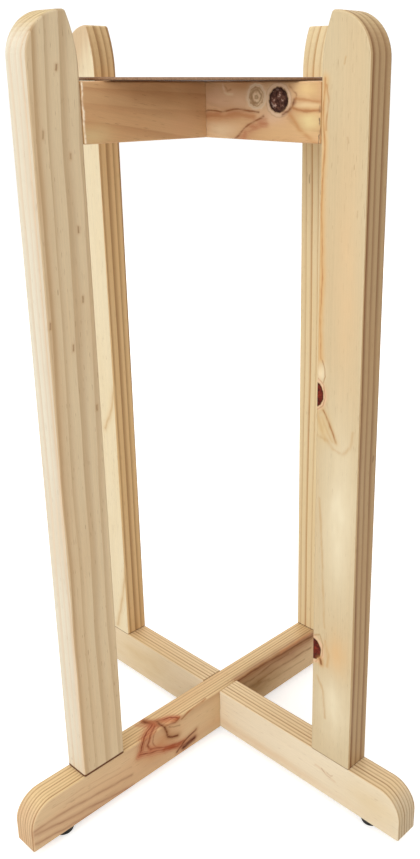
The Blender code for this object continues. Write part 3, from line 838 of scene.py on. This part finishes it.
def hardboard():
    """Pressed wood fibre: a smooth brown face, a woven mark beneath and a paler sawn edge, with painted
    shade along the bottom of that edge.
    """
    mesh_pitch = 1.6  # mm
    shade_band_low, shade_band_high = 0.5, 0.9  # of a band of painted shade along the bottom of the edge, in mm
    graph = Graph("hardboard")
    mm = graph.millimetres()
    wisp = graph.noise(mm, scale=0.9, detail=4.0, roughness=0.7, distortion=1.2)
    speck = graph.noise(mm, scale=2.6, detail=2.0, roughness=0.6)
    cloud = graph.noise(mm, scale=0.03, detail=2.0)
    colour = graph.mix(graph.smooth(wisp, 0.36, 0.68), srgb(104, 74, 52), srgb(146, 110, 80))
    colour = graph.mix(graph.smooth(speck, 0.62, 0.74, 0.0, 0.6), colour, srgb(74, 48, 34))
    colour = graph.brighten(colour, graph.smooth(cloud, 0.3, 0.7, 0.93, 1.06))

    upward = graph.dot(graph.normal, Z)
    side = graph.smooth(graph.maths("ABSOLUTE", upward), 0.3, 0.8, 1.0, 0.0)
    edge = graph.mix(graph.smooth(wisp, 0.36, 0.66), srgb(126, 92, 66), srgb(174, 138, 106))
    parts = graph.node("ShaderNodeSeparateXYZ")
    graph.plug(parts.inputs[0], mm)
    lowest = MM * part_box("seat_board")[0].z
    # Painted shade: the bottom of the board's edge is darkened, for the shadow under its rim where it
    # rests on the rails.
    shade_band = graph.smooth(parts.outputs[2], lowest + shade_band_low, lowest + shade_band_high, 0.95, 0.0)
    edge = graph.mix(shade_band, edge, srgb(60, 28, 12))
    colour = graph.mix(side, colour, edge)

    under = graph.smooth(upward, -0.8, -0.6, 1.0, 0.0)
    turn = 2 * math.pi / mesh_pitch
    wires = [graph.maths("SINE", graph.times(parts.outputs[i], turn)) for i in (0, 1)]
    screen = graph.times(graph.maths("MAXIMUM", *wires), under)
    colour = graph.brighten(colour, graph.add(1.0, graph.times(screen, 0.06)))
    rough = graph.smooth(wisp, 0.3, 0.7, 0.36, 0.46)
    rough = graph.add(rough, graph.times(graph.add(side, under), 0.3))
    height = graph.add(graph.times(wisp, 0.5), graph.times(speck, 0.3), graph.times(screen, 0.8))
    graph.finish(colour, rough, height, 0.0002, 0.6)
    wear(graph.material, "seat_board")


def rubber():
    """Matt black feet with a little dust."""
    graph = Graph("rubber")
    mm = graph.millimetres()
    dust = graph.noise(mm, scale=0.5, detail=4.0, roughness=0.7)
    pits = graph.noise(mm, scale=3.5, detail=1.0)
    colour = graph.mix(graph.smooth(dust, 0.45, 0.8), srgb(18, 18, 19), srgb(46, 45, 43))
    graph.finish(colour, graph.smooth(dust, 0.3, 0.8, 0.5, 0.75), pits, 0.0001, 0.5)
    wear(graph.material, *named("rubber_foot"))


def plated_steel(name, bright, dull, *names):
    """Screws with a zinc coat in two tones."""
    graph = Graph(name)
    mm = graph.millimetres()
    bloom = graph.noise(mm, scale=0.8, detail=3.0, roughness=0.6)
    scratch = graph.noise(graph.vector("MULTIPLY", mm, (9, 1, 9)), detail=2.0)
    colour = graph.mix(graph.smooth(bloom, 0.35, 0.7), bright, dull)
    graph.finish(colour, graph.smooth(bloom, 0.3, 0.7, 0.24, 0.42), scratch, 0.00005, 0.4)
    graph.shader.inputs["Metallic"].default_value = 1.0
    wear(graph.material, *names)


def beech():
    """Dowels, with short dark flecks."""
    graph = Graph("beech")
    mm = graph.millimetres()
    grain = graph.noise(graph.vector("MULTIPLY", mm, (0.4, 0.4, 3.0)), detail=3.0)
    flecks = graph.noise(mm, scale=2.2, detail=1.0)
    colour = graph.mix(graph.smooth(grain, 0.3, 0.7), srgb(206, 168, 130), srgb(188, 146, 106))
    colour = graph.mix(graph.smooth(flecks, 0.62, 0.75, 0.0, 0.6), colour, srgb(150, 106, 72))
    graph.finish(colour, graph.smooth(grain, 0.3, 0.7, 0.55, 0.68), grain, 0.0001, 0.5)
    wear(graph.material, *named("rail_dowel"))


def floor():
    """A white floor, which glows a little where the camera sees it but lights nothing."""
    mesh = bpy.data.meshes.new("floor")
    half = FLOOR_HALF
    corners = [(-half, -half, 0), (half, -half, 0), (half, half, 0), (-half, half, 0)]
    mesh.from_pydata(corners, [], [(0, 1, 2, 3)])
    plane = bpy.data.objects.new("floor", mesh)
    bpy.context.scene.collection.objects.link(plane)
    graph = Graph("floor_white")
    graph.shader.inputs["Base Color"].default_value = FLOOR_GREY
    graph.shader.inputs["Roughness"].default_value = 0.9
    graph.shader.inputs["Specular IOR Level"].default_value = 0.0
    graph.shader.inputs["Emission Color"].default_value = WHITE
    path = graph.node("ShaderNodeLightPath")
    glow = graph.smooth(path.outputs["Is Camera Ray"], 0.0, 1.0, 0.0, FLOOR_GLOW)
    graph.plug(graph.shader.inputs["Emission Strength"], glow)
    mesh.materials.append(graph.material)


def area_light(name, place, aim, size, power, colour):
    light = bpy.data.lights.new(name, "AREA")
    light.shape = "DISK"
    light.size = size
    light.energy = power
    light.color = colour
    lamp = bpy.data.objects.new(name, light)
    lamp.location = place
    towards = Vector((0, 0, aim)) - Vector(place)
    lamp.rotation_euler = towards.to_track_quat("-Z", "Y").to_euler()
    bpy.context.scene.collection.objects.link(lamp)


def studio():
    """A sky that looks plain white and lights the stand more softly, and the lights."""
    world = bpy.data.worlds.new("studio")
    world.use_nodes = True
    bpy.context.scene.world = world
    tree = world.node_tree
    seen = tree.nodes["Background"]
    seen.inputs["Color"].default_value = WHITE
    seen.inputs["Strength"].default_value = SKY_SEEN
    lit = tree.nodes.new("ShaderNodeBackground")
    lit.inputs["Color"].default_value = SKY_TINT
    lit.inputs["Strength"].default_value = SKY_LIT
    path = tree.nodes.new("ShaderNodeLightPath")
    mixer = tree.nodes.new("ShaderNodeMixShader")
    tree.links.new(path.outputs["Is Camera Ray"], mixer.inputs[0])
    tree.links.new(lit.outputs[0], mixer.inputs[1])
    tree.links.new(seen.outputs[0], mixer.inputs[2])
    tree.links.new(mixer.outputs[0], tree.nodes["World Output"].inputs["Surface"])
    for light in LIGHTS:
        area_light(*light)
    bpy.context.scene.view_settings.view_transform = "Standard"


def camera():
    lens = bpy.data.cameras.new("camera")
    lens.lens = LENS
    lens.sensor_width = SENSOR
    lens.shift_x, lens.shift_y = SHIFT
    lens.clip_start = 0.01
    eye = bpy.data.objects.new("camera", lens)
    eye.location = EYE
    eye.rotation_euler = (math.radians(90 - EYE_DOWN), 0, math.radians(EYE_LEFT))
    bpy.context.scene.collection.objects.link(eye)
    bpy.context.scene.camera = eye


legs()
base_beams()
top_rails()
hardboard()
rubber()
beech()
plated_steel("zinc_steel", srgb(206, 206, 202), srgb(160, 160, 156),
             *named("leg_screw", "foot_screw", "crossing_screw"))
plated_steel("yellow_zinc_steel", srgb(214, 190, 128), srgb(176, 146, 92), *named("seat_screw"))
floor()
studio()
camera()
